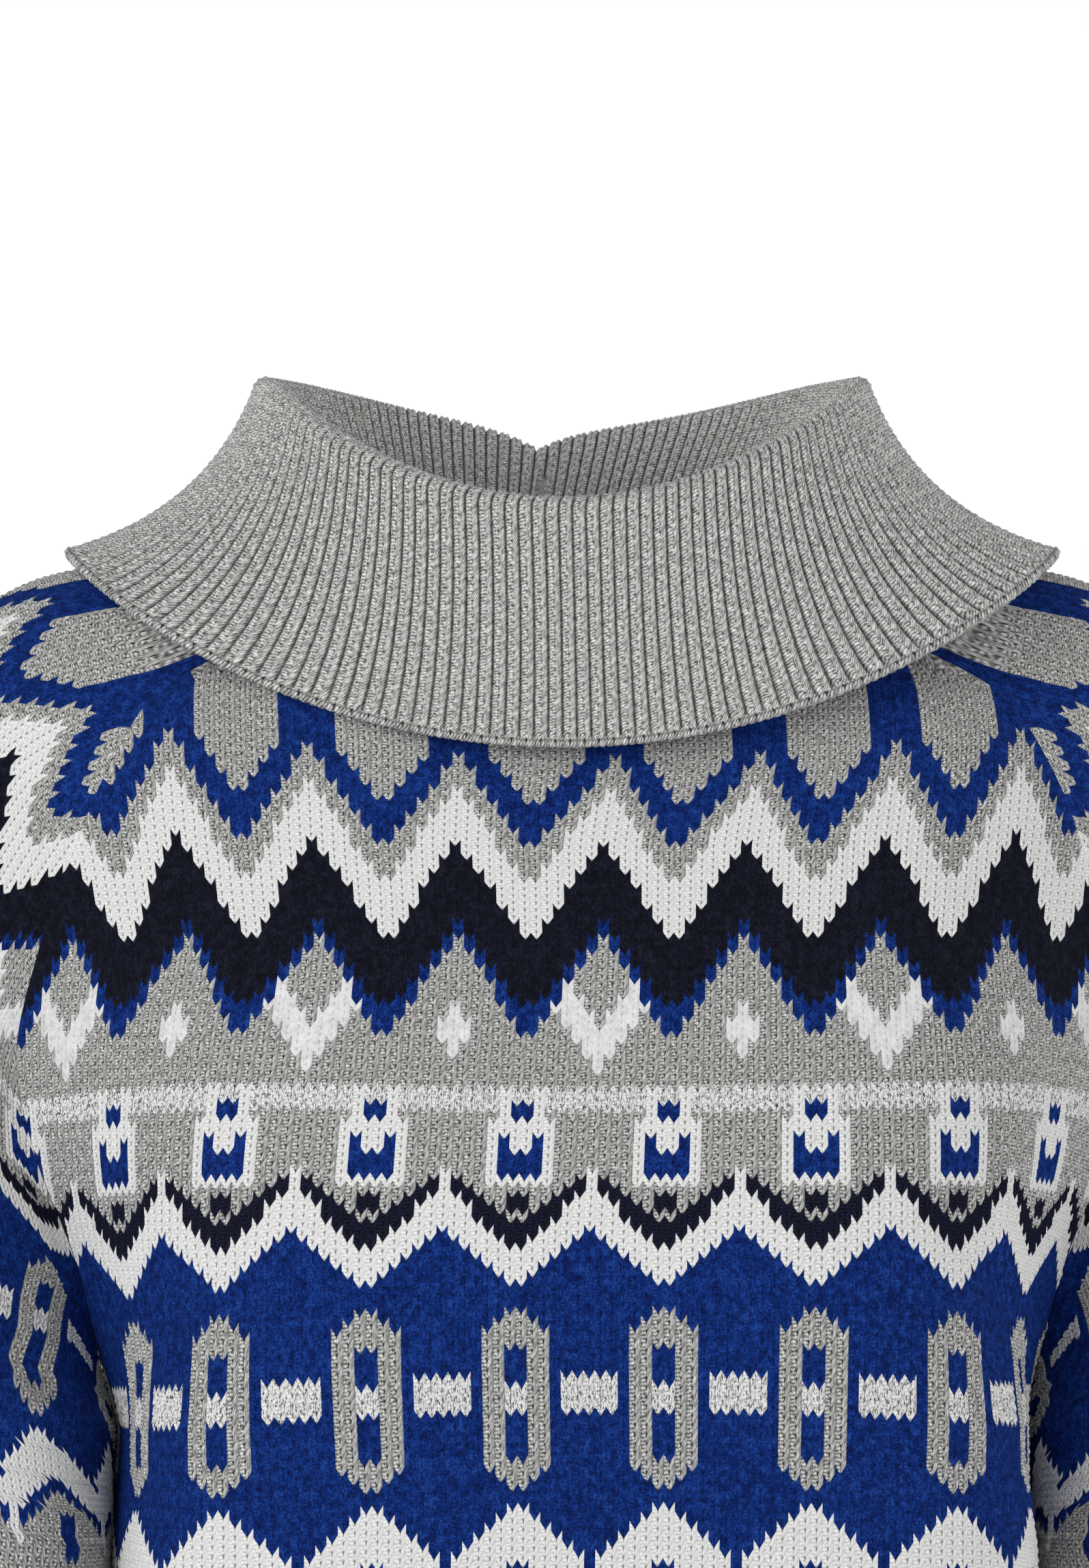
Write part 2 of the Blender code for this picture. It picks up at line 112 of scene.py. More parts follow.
# How far down, in rings, the rows hang at the middle of the front and at its sides
Bow = namedtuple("Bow", "ring middle side")
ROW_BOWS = [Bow(0, 0, 0), Bow(0.2, 0.008, -0.02), Bow(0.28, 0.008, -0.024),
            Bow(0.375, 0.0035, -0.009), Bow(0.46, 0, 0), Bow(2.25, 0, 0)]
BOW_SPREAD = 1.4
BODY_PLACES = 56
SEAM_CROWDING = 0.35
KNIT_WALL = 2.8

YARNS = ("grey_mouline", "off_white", "royal_felted", "navy_felted", "navy_smooth",
         "white_felted", "white_lurex", "floats_inside")
GREY, WHITE, ROYAL, NAVY_FELT, NAVY, WHITE_FELT, LUREX, INSIDE = range(8)
STANDS_PROUD = {GREY: 1.0, WHITE: 1.0, ROYAL: 0.3, NAVY_FELT: 0.3, NAVY: 0.95, WHITE_FELT: 0.4,
                LUREX: 1.0}
# A stitch: how high its legs stand and how deep their feet lie, by what share both vary, and over
# how many rows a leg slants
LEG_CROWN = 0.58
LEG_FOOT = 0.36
UNEVEN = 0.15
LEG_SLANT = 0.95
FIRST_ROW_SLANT = 0.15
# Stitches close up into a seam a little before the edge of the cloth, which lies half as deep as
# their feet
SEAM_MARGIN = 0.2
SEAM_LEAD = 0.35
SEAM_DEPTH = 0.5
SMALL_HOLE = 8
FLOAT_WIDTH = 6.0


def slope(table, row):
    """Rate of change of each column at a row of a table, weighted between its neighbours."""
    here = table[row]
    rates = []
    for column in range(len(here)):
        sides = []
        for other in (row - 1, row + 1):
            if 0 <= other < len(table):
                span = table[other].level - here.level
                sides.append(((table[other][column] - here[column]) / span, abs(span)))
        if len(sides) == 1:
            rates.append(sides[0][0])
        else:
            (rate_a, span_a), (rate_b, span_b) = sides
            rates.append((rate_a * span_b + rate_b * span_a) / (span_a + span_b))
    return rates


def follow(table, level):
    """All the columns of a table at a level, on a smooth curve through its rows."""
    low = 0
    while low < len(table) - 2 and table[low + 1].level < level:
        low += 1
    start = table[low]
    end = table[low + 1]
    span = end.level - start.level
    s = min(max((level - start.level) / span, 0.0), 1.0)
    values = []
    for a, b, rate_a, rate_b in zip(start, end, slope(table, low), slope(table, low + 1)):
        values.append(a * (1 + 2 * s) * (1 - s) ** 2 + b * s * s * (3 - 2 * s)
                      + span * (rate_a * s * (1 - s) ** 2 - rate_b * s * s * (1 - s)))
    return type(start)(*values)


def way(turn, rise):
    """Unit vector that turns from +X towards +Y and rises."""
    turn = math.radians(turn)
    rise = math.radians(rise)
    return Vector((math.cos(turn) * math.cos(rise), math.sin(turn) * math.cos(rise),
                   math.sin(rise)))


def arc(start, start_way, end, end_way, share, fullness=1.0):
    """Point at a share of an arc that leaves its start and reaches its end the given ways. It is
    round at a fullness of 1, and squarer above."""
    turn = max(start_way.angle(end_way), 0.01)
    reach = (end - start).length * 2 / 3 * math.tan(turn / 4) / math.sin(turn / 2) * fullness
    rest = 1 - share
    return (start * rest ** 3 + (start + start_way * reach) * 3 * share * rest ** 2
            + (end - end_way * reach) * 3 * share ** 2 * rest + end * share ** 3)


def mirror_y(vector):
    return Vector((vector.x, -vector.y, vector.z))


def curve_point(curve, angle, crowding=0.0):
    """Point of a neck curve: angle 0 is the front, a quarter turn the +X side. Crowding draws
    the ribs towards the middles of the front and back."""
    angle -= crowding * math.sin(2 * angle)
    ahead = math.cos(angle)
    if ahead > 0:
        depth = curve.front
        drop = curve.front_drop * ahead ** curve.front_power
    else:
        depth = curve.back
        drop = curve.back_drop * (-ahead) ** curve.back_power
    return Vector((curve.half_width * math.sin(angle), -depth * ahead, curve.side_z - drop))


def to_neck(point, level):
    """Draws the first rings towards the neck curve, fully at level 0."""
    if level >= NECK_BLEND:
        return point
    depth = NECK.front if point.y < 0 else NECK.back
    angle = math.atan2(point.x / NECK.half_width, -point.y / depth)
    return point.lerp(curve_point(NECK, angle), (1 - level / NECK_BLEND) ** 2)


def body_ring(middle_table, seam_table, facing, level, across, fullness):
    """Point of a body ring, across from -1 to 1 between its seams."""
    middle = follow(middle_table, level)
    if level <= UNDERARM:
        seam = follow(seam_table, level)
        arrive = way(seam.turn, seam.rise)
    else:
        seam = follow(SIDE_SEAM, level)
        arrive = Vector((0, 1, 0))
    start = Vector((0, -facing * middle.y, middle.z))
    end = Vector((seam.x, -facing * seam.y, seam.z))
    point = arc(start, Vector((1, 0, 0)), end, arrive, abs(across), fullness)
    point.y *= -facing
    point = to_neck(point, level)
    if across < 0:
        point.x = -point.x
    return point


def front_point(level, across):
    first, last = FULLNESS_LEVELS
    rise = min(max((level - first) / (last - first), 0.0), 1.0)
    return body_ring(FRONT_MIDDLE, FRONT_SEAM, -1, level, across, 1 + (FRONT_FULLNESS - 1) * rise)


def front_row_point(ring, across):
    """Point of a row of knitting, which hangs lowest at the middle of the chest."""
    at, middle, side = (np.array(column) for column in zip(*ROW_BOWS))
    middle = float(np.interp(ring, at, middle))
    side = float(np.interp(ring, at, side))
    spread = min(across * across * BOW_SPREAD, 1.0)
    return front_point(ring + middle + (side - middle) * spread, across)


def fold_depth(points):
    """How far the soft folds press the cloth in at each of an array of points."""
    mirrored = points.copy()
    mirrored[..., 0] = np.abs(mirrored[..., 0])
    depth = np.zeros(points.shape[:-1])
    for fold in FOLDS:
        start = np.array((fold.x0, fold.y0, fold.z0))
        run = np.array((fold.x1, fold.y1, fold.z1)) - start
        share = (mirrored - start) @ run / (run @ run)
        off = np.linalg.norm(mirrored - start - share[..., None] * run, axis=-1)
        fade = np.cos(math.pi * (share - 0.5) / (1 + 2 * FOLD_RUN_OUT)) ** 2
        inside = (share > -FOLD_RUN_OUT) & (share < 1 + FOLD_RUN_OUT)
        depth += np.where(inside, fold.depth * fade * np.exp(-(off / fold.half_width) ** 2), 0)
    return depth


def cloth_grid(surface, rings, places, outward):
    """Points and outward normals of a panel, one line for each row of knitting."""
    points = np.array([[surface(ring, place) for place in places] for ring in rings])
    sideways = np.gradient(points, axis=1)
    downwards = np.gradient(points, axis=0)
    normals = np.cross(sideways, downwards) * outward
    normals /= np.linalg.norm(normals, axis=-1, keepdims=True)
    return points - normals * fold_depth(points)[..., None], normals


def run_along(points):
    """Distance of each point from the middle of its row, less than 0 before it."""
    steps = np.linalg.norm(np.diff(points, axis=1), axis=-1)
    run = np.concatenate((np.zeros((len(points), 1)), np.cumsum(steps, axis=1)), axis=1)
    return run - run[:, run.shape[1] // 2:run.shape[1] // 2 + 1]


def seam_to_seam(count, crowding):
    """Places from -1 to 1, with more of them near both ends."""
    steps = np.linspace(-1, 1, count + 1)
    return (1 - crowding) * steps + crowding * np.sin(steps * math.pi / 2)


def edge_loops(triangles):
    """The open edges of a surface as loops of corners, in the order its faces run."""
    edges = np.concatenate((triangles[:, (0, 1)], triangles[:, (1, 2)], triangles[:, (2, 0)]))
    edges = edges.astype(np.int64)
    size = edges.max() + 1
    open_edges = edges[~np.isin(edges[:, 0] * size + edges[:, 1],
                                edges[:, 1] * size + edges[:, 0])]
    onwards = {}
    for a, b in open_edges.tolist():
        onwards.setdefault(a, []).append(b)
    loops = []
    while onwards:
        first = next(iter(onwards))
        loop = [first]
        here = first
        while here in onwards:
            there = onwards[here].pop()
            if not onwards[here]:
                del onwards[here]
            if there == first:
                break
            loop.append(there)
            here = there
        loops.append(loop)
    return loops


def close_wall(corners, outer_loop, inner_loop):
    """Triangles between the edge of the outer face and the edge of the inner face."""
    inner_loop = inner_loop[::-1]
    gaps = np.linalg.norm(corners[inner_loop] - corners[outer_loop[0]], axis=1)
    turn = int(gaps.argmin())
    inner_loop = inner_loop[turn:] + inner_loop[:turn]
    outer_loop = outer_loop + outer_loop[:1]
    inner_loop = inner_loop + inner_loop[:1]
    faces = []
    o = i = 0
    while o < len(outer_loop) - 1 or i < len(inner_loop) - 1:
        step_outer = i == len(inner_loop) - 1
        if o < len(outer_loop) - 1 and i < len(inner_loop) - 1:
            by_outer = corners[outer_loop[o + 1]] - corners[inner_loop[i]]
            by_inner = corners[outer_loop[o]] - corners[inner_loop[i + 1]]
            step_outer = by_outer @ by_outer <= by_inner @ by_inner
        if step_outer:
            faces.append((outer_loop[o + 1], outer_loop[o], inner_loop[i]))
            o += 1
        else:
            faces.append((outer_loop[o], inner_loop[i], inner_loop[i + 1]))
            i += 1
    return faces


def knit(name, points, normals, wales, yarn_of, wall, crown=LEG_CROWN, foot=LEG_FOOT,
         groove=None, ridge=None, slant=LEG_SLANT, closed=False, turned_over=False, inner_rows=6,
         inner_places=3, yarns=YARNS, seed=1):
    """Makes a knitted piece. Each stitch is a V of two plump legs, a raised point over four
    corners each, and in a rib the legs also join end to end at the height of a ridge. Stitches
    past a seam close up into it. The inner face is plain."""
    # The cloth at every quarter of a stitch along each row
    rows = len(points) - 1
    first = int(math.floor(wales.min() + 1e-6))
    count = int(math.ceil(wales.max() - 1e-6)) - first
    quarters = first + np.arange(4 * count + 1) / 4
    fine = np.empty((rows + 1, len(quarters), 6))
    for row in range(rows + 1):
        for axis in range(3):
            fine[row, :, axis] = np.interp(quarters, wales[row], points[row, :, axis])
            fine[row, :, axis + 3] = np.interp(quarters, wales[row], normals[row, :, axis])
    # The places on each row past which its stitches close up into the seams
    ends = np.array((wales[:, 0], -wales[:, -1]))
    before = np.concatenate((ends[:, :1], ends[:, :-1]), axis=1)
    early = before * SEAM_LEAD + ends * (1 - SEAM_LEAD)
    lows, highs = np.maximum(ends, early) * np.array(((1,), (-1,)))
    lows = lows + SEAM_MARGIN
    highs = highs - SEAM_MARGIN

    steps = np.arange(rows + 1)
    middle_rows = steps.astype(float)
    edge_rows = np.maximum(steps - slant, FIRST_ROW_SLANT * steps)
    edge_rows[-1] = rows
    leg_rows = (edge_rows[:-1] + edge_rows[1:] + middle_rows[:-1] + middle_rows[1:]) / 4

    def lines(at):
        low = np.minimum(np.floor(at).astype(int), rows - 1)
        share = at - low
        mix = share[:, None, None]
        return fine[low] * (1 - mix) + fine[low + 1] * mix

    yarn = np.array([[yarn_of(first + c, r) for c in range(count)] for r in range(rows)])
    proud = np.vectorize(lambda y: STANDS_PROUD[y])(yarn)
    chance = np.random.default_rng(seed)
    padded = np.pad(proud, ((1, 1), (0, 0)), mode="edge")
    middle_foot = -foot * (padded[:-1] + padded[1:]) / 2
    wide = np.pad(proud, ((1, 1), (1, 1)), mode="wrap" if closed else "edge")
    edge_foot = -(groove if groove else foot) * (
        wide[:-1, :-1] + wide[1:, :-1] + wide[:-1, 1:] + wide[1:, 1:]) / 4
    if closed:
        edge_foot = edge_foot[:, :count]
    # Lines of corners: the feet at the middles and edges of the stitches, then both legs' crests
    lines_made = [
        (middle_rows, slice(2, None, 4), middle_foot, 0.5, steps),
        (edge_rows, slice(0, 4 * count if closed else None, 4), edge_foot, 0.0,
         np.maximum(steps - 1, 0)),
        (leg_rows, slice(1, None, 4), crown * proud, 0.25, steps[:-1]),
        (leg_rows, slice(3, None, 4), crown * proud, 0.75, steps[:-1])]
    if ridge is not None:
        ridge_rows = (edge_rows + middle_rows) / 2
        ridge_height = np.full((rows + 1, count), ridge)
        lines_made += [(ridge_rows, slice(1, None, 4), ridge_height, 0.25, steps),
                       (ridge_rows, slice(3, None, 4), ridge_height, 0.75, steps)]
    blocks, bounds, ranks = [], [], []
    for at, columns, height, offset, rank in lines_made:
        line = lines(at)[:, columns]
        height = height * chance.uniform(1 - UNEVEN, 1 + UNEVEN, height.shape)
        block = line[..., :3] + line[..., 3:] * height[..., None]
        blocks.append(block.reshape(-1, 3))
        u = first + offset + np.arange(line.shape[1])[None, :]
        bounds.append((u < lows[rank][:, None]) * 1 + (u > highs[rank][:, None]) * 2)
        ranks.append(rank)
    sizes = [len(block) for block in blocks]
    starts = np.concatenate(([0], np.cumsum(sizes)))
    ids = [np.arange(size).reshape(bound.shape) + start
           for size, bound, start in zip(sizes, bounds, starts)]
    corners = np.concatenate(blocks)
    is_leg = (np.arange(len(corners)) >= starts[2]) & (np.arange(len(corners)) < starts[4])
    if not closed:
        left = points[:, 0] - normals[:, 0] * foot * SEAM_DEPTH
        right = points[:, -1] - normals[:, -1] * foot * SEAM_DEPTH
        left_ids = len(corners) + steps
        right_ids = left_ids + rows + 1
        corners = np.concatenate((corners, left, right))
        is_leg = np.concatenate((is_leg, np.zeros(2 * (rows + 1), bool)))
        for kind, rank in enumerate(ranks):
            ids[kind] = np.where(bounds[kind] == 1, left_ids[rank][:, None], ids[kind])
            ids[kind] = np.where(bounds[kind] == 2, right_ids[rank][:, None], ids[kind])
    middle, edge, leg_a, leg_b = ids[:4]
    edge_next = np.roll(edge, -1, axis=1) if closed else edge[:, 1:]
    edge = edge if closed else edge[:, :-1]

    j, c = np.meshgrid(np.arange(rows), np.arange(count), indexing="ij")
    left_ring = [edge[:-1], edge[1:], middle[1:], middle[:-1]]
    left_uv = [(2 * c, j), (2 * c, j + 1), (2 * c + 1, j + 1), (2 * c + 1, j)]
    right_ring = [middle[:-1], middle[1:], edge_next[1:], edge_next[:-1]]
    right_uv = [(2 * c + 1, j), (2 * c + 1, j + 1), (2 * c + 2, j + 1), (2 * c + 2, j)]
    if ridge is not None:
        for ring, ring_uv, crest, u in ((left_ring, left_uv, ids[4], 0.5),
                                        (right_ring, right_uv, ids[5], 1.5)):
            ring.insert(2, crest[1:])
            ring.append(crest[:-1])
            ring_uv.insert(2, (2 * c + u, j + 1))
            ring_uv.append((2 * c + u, j))
    # A leg is a fan of triangles from its crest to the ring of feet around it
    triangles, slots, uvs = [], [], []
    for ring, ring_uv, leg, leg_u in ((left_ring, left_uv, leg_a, 0.5),
                                      (right_ring, right_uv, leg_b, 1.5)):
        for side in range(len(ring)):
            after = (side + 1) % len(ring)
            triangles.append(np.stack((ring[side], ring[after], leg), axis=-1).reshape(-1, 3))
            slots.append(yarn.reshape(-1))
            uv = np.stack((ring_uv[side][0], ring_uv[side][1], ring_uv[after][0],
                           ring_uv[after][1], 2 * c + leg_u, j + 0.5), axis=-1)
            uvs.append(uv.reshape(-1, 3, 2))
    triangles = np.concatenate(triangles)
    slots = np.concatenate(slots)
    uvs = np.concatenate(uvs).astype(float)
    distinct = ((triangles[:, 0] != triangles[:, 1]) & (triangles[:, 1] != triangles[:, 2])
                & (triangles[:, 2] != triangles[:, 0]))
    if not closed:
        distinct &= ~(triangles >= left_ids[0]).all(axis=1)
    triangles, slots, uvs = triangles[distinct], slots[distinct], uvs[distinct]

    # The plain inner face, and the rim that joins its edges to those of the outer face
    picked = list(range(0, rows, inner_rows)) + [rows]
    across = points.shape[1]
    places = list(range(0, across - 1, inner_places)) + ([] if closed else [across - 1])
    inner = (points - normals * wall)[np.ix_(picked, places)]
    inner_ids = len(corners) + np.arange(inner.shape[0] * inner.shape[1]).reshape(inner.shape[:2])
    corners = np.concatenate((corners, inner.reshape(-1, 3)))
    is_leg = np.concatenate((is_leg, np.zeros(inner_ids.size, bool)))
    a = inner_ids[:-1] if closed else inner_ids[:-1, :-1]
    b = np.roll(inner_ids, -1, 1)[:-1] if closed else inner_ids[:-1, 1:]
    d = inner_ids[1:] if closed else inner_ids[1:, :-1]
    e = np.roll(inner_ids, -1, 1)[1:] if closed else inner_ids[1:, 1:]
    inner_faces = np.concatenate((np.stack((a, b, e), -1).reshape(-1, 3),
                                  np.stack((a, e, d), -1).reshape(-1, 3)))
    rim = []
    inner_loops = edge_loops(inner_faces)
    for loop in edge_loops(triangles):
        if len(loop) < SMALL_HOLE:
            rim += [(loop[0], loop[step + 1], loop[step]) for step in range(1, len(loop) - 1)]
            continue
        centre = corners[loop].mean(axis=0)
        partner = min(inner_loops, key=lambda other: np.linalg.norm(
            corners[other].mean(axis=0) - centre))
        rim += close_wall(corners, loop, partner)
    rim = np.array(rim)

    faces = np.concatenate((triangles, inner_faces, rim))
    plain = np.full(len(inner_faces) + len(rim), INSIDE if len(yarns) > INSIDE else 0)
    plain[len(inner_faces):] = min(int(np.bincount(slots).argmax()), len(yarns) - 1)
    slots = np.concatenate((slots, plain))
    corner_uv = np.zeros((len(corners), 2))
    corner_uv[inner_ids] = np.stack(np.meshgrid(np.arange(len(places)) * FLOAT_WIDTH,
                                                np.array(picked, float)), -1)
    uvs = np.concatenate((uvs, corner_uv[faces[len(triangles):]]))
    if turned_over:
        faces = faces[:, ::-1]
        uvs = uvs[:, ::-1]
    # The mesh itself, creased around each leg and along the rim, and smooth elsewhere
    used, faces = np.unique(faces, return_inverse=True)
    faces = faces.reshape(-1, 3)
    inner_first = inner_ids.min()
    data = bpy.data.meshes.new(name)
    data.from_pydata((corners[used] * MM).tolist(), [], faces.tolist())
    data.polygons.foreach_set("material_index", slots.astype(np.int32))
    data.uv_layers.new(name="strand").data.foreach_set("uv", uvs.reshape(-1))
    ends = np.empty(len(data.edges) * 2, np.int32)
    data.edges.foreach_get("vertices", ends)
    ends = ends.reshape(-1, 2)
    leg_used = is_leg[used]
    inner_used = used >= inner_first
    crease = ~(leg_used[ends].any(axis=1)) & ~(inner_used[ends].all(axis=1))
    sharp = data.attributes.new("sharp_edge", "BOOLEAN", "EDGE")
    data.polygons.foreach_set("use_smooth", np.ones(len(data.polygons), bool))
    sharp.data.foreach_set("value", crease)
    for material in yarns:
        data.materials.append(bpy.data.materials[material])
    data.update()
    piece = bpy.data.objects.new(name, data)
    bpy.context.collection.objects.link(piece)
    return piece


def chart(column, row):
    """Yarn of one stitch. Columns count from the single middle column of the front, and rows from
    the tip of the highest diamond. The chart repeats every 13 columns and mirrors in each."""
    turn = round(column / REPEAT)
    off = abs(column - REPEAT * turn)
    k = 6 - off
    v = row + 0.5
    if v < 18.9 - 2.18 * k:
        if v < 6.0 - 2.1 * k:
            return GREY if k <= 3 and v < -2 * k else ROYAL
        return GREY if v < 11.1 - 2.2 * k else WHITE
    if v < 28.5 - 1.92 * k:
        return NAVY_FELT
    if v < 31.9 - 2.17 * k:
        return ROYAL
    if v < 39.2:
        if turn % 2 == 0:
            tuft = ((25.5, 3, 4), (27.4, 2, 4), (29.3, 1, 3), (31.3, 0, 2), (33.3, 0, 1),
                    (35.2, 0, 0), (37.2, 9, 9))
        else:
            tuft = ((28.5, 0, 0), (30.5, 0, 1), (33.5, 0, 0), (35.5, 9, 9))
        for (start, low, high), (end, _, _) in zip(tuft, tuft[1:]):
            if start <= v < end and low <= off <= high:
                return WHITE_FELT
        return GREY
    if v < 51.1 and k <= 2:
        if k == 0:
            return (LUREX if v < 41.4 else ROYAL if v < 43.3 else WHITE if v < 47.2
                    else ROYAL if v < 50.1 else WHITE)
        if k == 1:
            return WHITE if v < 45.2 or v > 50.1 else ROYAL
        return LUREX if v < 42.5 else GREY if v < 43.4 else WHITE
    if v < 42.5:
        return LUREX
    grey_ends = (55.4, 54.4, 53.2, 52.0, 51.2, 50.1, 48.6)
    navy_ends = (57.8, 56.8, 55.8, 54.6, 53.5, 52.4, 48.6)
    white_ends = (61.6, 60.7, 59.8, 58.8, 57.7, 56.6, 55.8)
    if v < white_ends[k]:
        if k == 0 and 52.1 <= v < 54.1:
            return NAVY
        if v < grey_ends[k]:
            return GREY
        return NAVY if v < navy_ends[k] else WHITE
    if v < 86.5 + k + 0.2 * (k == 6):
        if k <= 2 and (64.8, 65.8, 66.8)[k] <= v < (84.1, 83.2, 82.2)[k]:
            if k == 0 and 68.7 <= v < 80.8:
                return LUREX if 72.6 <= v < 76.1 else ROYAL
            return GREY
        if k >= 4 and 72.5 <= v < 76.0:
            return LUREX
        return ROYAL
    if v < 91.6 + k:
        return WHITE
    if v < 93.7 + k:
        return WHITE if k == 6 else ROYAL
    if k == 6 and v < 101.5:
        return WHITE
    if k == 0 and 97.5 <= v < 102.5:
        return ROYAL
    return GREY


def yarn_material(name, dark, middle, light, sheen=0.12, roughness=0.85, ply=0.35, fuzz=0.3,
                  mottle=0.0, spread=0.14, bump=0.5, depth=0.0003, hole_shade=0.4, lines=0.8,
                  groove_shade=1.0, strokes=False):
    """Twisted or felted yarn. The strand map gives each leg of a stitch one unit: odd lines run
    down the middles of the stitches, where small gaps stay open, even ones between them. Painted
    shade darkens the colour in those gaps, along each row between stitches and in the groove
    between wales."""
    material = bpy.data.materials.new(name)
    material.use_nodes = True
    nodes = material.node_tree.nodes
    link = material.node_tree.links.new
    shader = nodes["Principled BSDF"]
    shader.inputs["Roughness"].default_value = roughness
    shader.inputs["Sheen Weight"].default_value = sheen
    shader.inputs["Sheen Roughness"].default_value = 0.5
    shader.inputs["Sheen Tint"].default_value = (*light, 1)
    shader.inputs["Specular IOR Level"].default_value = 0.12
    strand = nodes.new("ShaderNodeUVMap")
    strand.uv_map = "strand"
    place = nodes.new("ShaderNodeTexCoord")

    def noise(source, scale, detail, roughness=0.5, stretch=None):
        """Noise over the strand map, or over the object, finer across than along."""
        if stretch:
            mapping = nodes.new("ShaderNodeMapping")
            mapping.inputs["Scale"].default_value = stretch
            link(source, mapping.inputs["Vector"])
            source = mapping.outputs["Vector"]
        texture = nodes.new("ShaderNodeTexNoise")
        texture.inputs["Scale"].default_value = scale
        texture.inputs["Detail"].default_value = detail
        texture.inputs["Roughness"].default_value = roughness
        link(source, texture.inputs["Vector"])
        return texture.outputs["Fac"]

    def ramp(source, *stops):
        node = nodes.new("ShaderNodeValToRGB")
        while len(node.color_ramp.elements) < len(stops):
            node.color_ramp.elements.new(0.5)
        for element, (position, colour) in zip(node.color_ramp.elements, stops):
            element.position = position
            element.color = (*colour, 1)
        link(source, node.inputs["Fac"])
        return node.outputs["Color"]

    def blend(first, second, share):
        node = nodes.new("ShaderNodeMix")
        node.inputs["Factor"].default_value = share
        link(first, node.inputs["A"])
        link(second, node.inputs["B"])
        return node.outputs["Result"]

    def darkened(colour, shade):
        """One colour times another. A Mix node's colour sockets share their names with its others,
        so they go by number."""
        node = nodes.new("ShaderNodeMix")
        node.data_type = "RGBA"
        node.blend_type = "MULTIPLY"
        node.inputs["Factor"].default_value = 1.0
        link(colour, node.inputs[6])
        link(shade, node.inputs[7])
        return node.outputs[2]

    def zigzag(source, half, start=0.0):
        """Distance on the map from the lines that lie at the start and every two halves on."""
        moved = nodes.new("ShaderNodeMath")
        moved.inputs[1].default_value = start
        link(source, moved.inputs[0])
        node = nodes.new("ShaderNodeMath")
        node.operation = "PINGPONG"
        node.inputs[1].default_value = half
        link(moved.outputs["Value"], node.inputs[0])
        return node.outputs["Value"]

    plies = nodes.new("ShaderNodeTexWave")
    plies.bands_direction = "DIAGONAL"
    plies.inputs["Scale"].default_value = 1.5
    plies.inputs["Distortion"].default_value = 3.0
    plies.inputs["Detail"].default_value = 1.0
    link(strand.outputs["UV"], plies.inputs["Vector"])
    flecks = noise(strand.outputs["UV"], 1.0, 4.0, 0.75, (2.2, 1.1, 1.0))
    fibres = noise(place.outputs["Object"], 1500.0, 3.0, 0.6)
    tone = blend(blend(flecks, plies.outputs["Fac"], ply), fibres, fuzz)
    if mottle:
        tone = blend(tone, noise(place.outputs["Object"], 320.0, 6.0, 0.72), mottle)
    colour = ramp(tone, (0.5 - spread, dark), (0.5, middle), (0.5 + spread, light))
    if strokes:
        wire = ramp(noise(strand.outputs["UV"], 1.0, 1.0, 0.5, (4.2, 1.3, 1.0)),
                    (0.0, (1, 1, 1)), (0.55, (1, 1, 1)), (0.57, (0.04, 0.04, 0.05)),
                    (0.63, (0.04, 0.04, 0.05)), (0.65, (1, 1, 1)))
        colour = darkened(colour, wire)
    parts = nodes.new("ShaderNodeSeparateXYZ")
    link(strand.outputs["UV"], parts.inputs["Vector"])
    from_sides = zigzag(parts.outputs["X"], 1.0)
    from_middles = zigzag(parts.outputs["X"], 1.0, 1.0)
    from_rows = zigzag(parts.outputs["Y"], 0.5)
    from_holes = nodes.new("ShaderNodeMath")
    from_holes.operation = "MULTIPLY_ADD"
    from_holes.inputs[1].default_value = 0.6
    link(from_rows, from_holes.inputs[0])
    link(from_middles, from_holes.inputs[2])
    # Painted shade: the colour is darkened in the small gaps down the middles of the stitches,
    # along each row between stitches and in the groove between wales, where shade falls.
    for source, shade, first, last in ((from_holes.outputs["Value"], hole_shade, 0.1, 0.28),
                                       (from_rows, lines, 0.0, 0.14),
                                       (from_sides, groove_shade, 0.06, 0.34)):
        if shade < 1:
            colour = darkened(colour, ramp(source, (first, (shade,) * 3), (last, (1, 1, 1))))
    link(colour, shader.inputs["Base Color"])
    relief = nodes.new("ShaderNodeBump")
    relief.inputs["Strength"].default_value = bump
    relief.inputs["Distance"].default_value = depth
    link(tone, relief.inputs["Height"])
    link(relief.outputs["Normal"], shader.inputs["Normal"])
    return material


# Each yarn's darkening in its gaps, along its rows and in the groove between wales is painted
# shade, deepest in the grey rib.
yarn_material("grey_mouline", (0.08, 0.08, 0.075), (0.37, 0.37, 0.36), (0.78, 0.78, 0.76),
              ply=0.2, fuzz=0.15, spread=0.13, hole_shade=0.1, lines=0.5, groove_shade=0.72)
yarn_material("grey_rib", (0.08, 0.08, 0.075), (0.43, 0.43, 0.42), (0.84, 0.84, 0.82),
              ply=0.2, fuzz=0.15, spread=0.14, hole_shade=0.5, lines=0.6, groove_shade=0.25)
yarn_material("off_white", (0.56, 0.565, 0.56), (0.75, 0.75, 0.74), (0.86, 0.86, 0.85), hole_shade=0.35)
yarn_material("royal_felted", (0.001, 0.005, 0.04), (0.002, 0.018, 0.14), (0.012, 0.055, 0.28),
              roughness=0.95, ply=0.1, fuzz=0.5, mottle=0.4, spread=0.09, bump=0.8, depth=0.0006,
              hole_shade=0.45, lines=1.0)
yarn_material("navy_felted", (0.002, 0.002, 0.004), (0.004, 0.005, 0.012), (0.013, 0.015, 0.03),
              roughness=0.95, ply=0.1, fuzz=0.5, mottle=0.4, spread=0.09, bump=0.8, depth=0.0006,
              hole_shade=0.5, lines=1.0)
yarn_material("navy_smooth", (0.002, 0.002, 0.007), (0.005, 0.006, 0.018), (0.013, 0.015, 0.04),
              hole_shade=0.3, lines=0.7)
